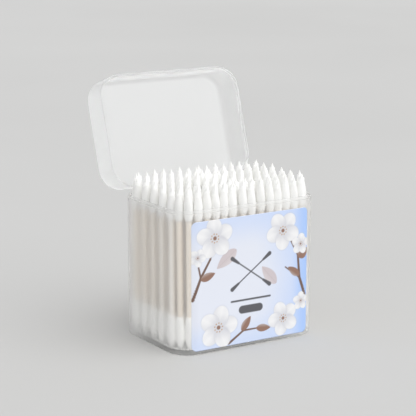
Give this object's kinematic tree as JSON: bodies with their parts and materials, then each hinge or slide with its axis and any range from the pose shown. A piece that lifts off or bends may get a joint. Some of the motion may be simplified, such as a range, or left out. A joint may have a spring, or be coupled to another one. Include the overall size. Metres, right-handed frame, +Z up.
{
  "type": "cotton swab box",
  "caption": "Rounded rectangular box full of upright two-ended cotton swabs, with a clear tub, a hinged frosted lid and a label on its front.",
  "frame": {"origin": "centre of the tub's flat underside", "axes": "+Z up, front with the label at -Y, +X to the right of the front, hinge at +Y"},
  "size_m": [0.0768, 0.0892, 0.1196],
  "materials": {
    "clear_plastic": "clear natural polypropylene, slightly cloudy",
    "frosted_plastic": "frosted natural polypropylene",
    "label_film": "printed film label with a soft gloss",
    "stick_paper": null,
    "cotton": "bleached cotton, wound and pressed"
  },
  "bodies": {
    "box": {"tub": "clear_plastic", "label": "label_film", "lower_tips_row_01": "cotton", "lower_tips_row_02": "cotton", "lower_tips_row_03": "cotton", "lower_tips_row_04": "cotton", "lower_tips_row_05": "cotton", "lower_tips_row_06": "cotton", "lower_tips_row_07": "cotton", "lower_tips_row_08": "cotton", "lower_tips_row_09": "cotton", "lower_tips_row_10": "cotton", "lower_tips_row_11": "cotton", "lower_tips_row_12": "cotton", "lower_tips_row_13": "cotton", "paper_sticks_row_01": "stick_paper", "paper_sticks_row_02": "stick_paper", "paper_sticks_row_03": "stick_paper", "paper_sticks_row_04": "stick_paper", "paper_sticks_row_05": "stick_paper", "paper_sticks_row_06": "stick_paper", "paper_sticks_row_07": "stick_paper", "paper_sticks_row_08": "stick_paper", "paper_sticks_row_09": "stick_paper", "paper_sticks_row_10": "stick_paper", "paper_sticks_row_11": "stick_paper", "paper_sticks_row_12": "stick_paper", "paper_sticks_row_13": "stick_paper", "upper_tips_row_01": "cotton", "upper_tips_row_02": "cotton", "upper_tips_row_03": "cotton", "upper_tips_row_04": "cotton", "upper_tips_row_05": "cotton", "upper_tips_row_06": "cotton", "upper_tips_row_07": "cotton", "upper_tips_row_08": "cotton", "upper_tips_row_09": "cotton", "upper_tips_row_10": "cotton", "upper_tips_row_11": "cotton", "upper_tips_row_12": "cotton", "upper_tips_row_13": "cotton"},
    "lid": {"lid": "frosted_plastic"}
  },
  "joints": [
    {"name": "lid_hinge", "type": "hinge", "parent": "box", "child": "lid", "pos_m": [0, 0.0297, 0.0657], "axis": [-1, 0, 0], "range_deg": [-108, 72]}
  ]
}
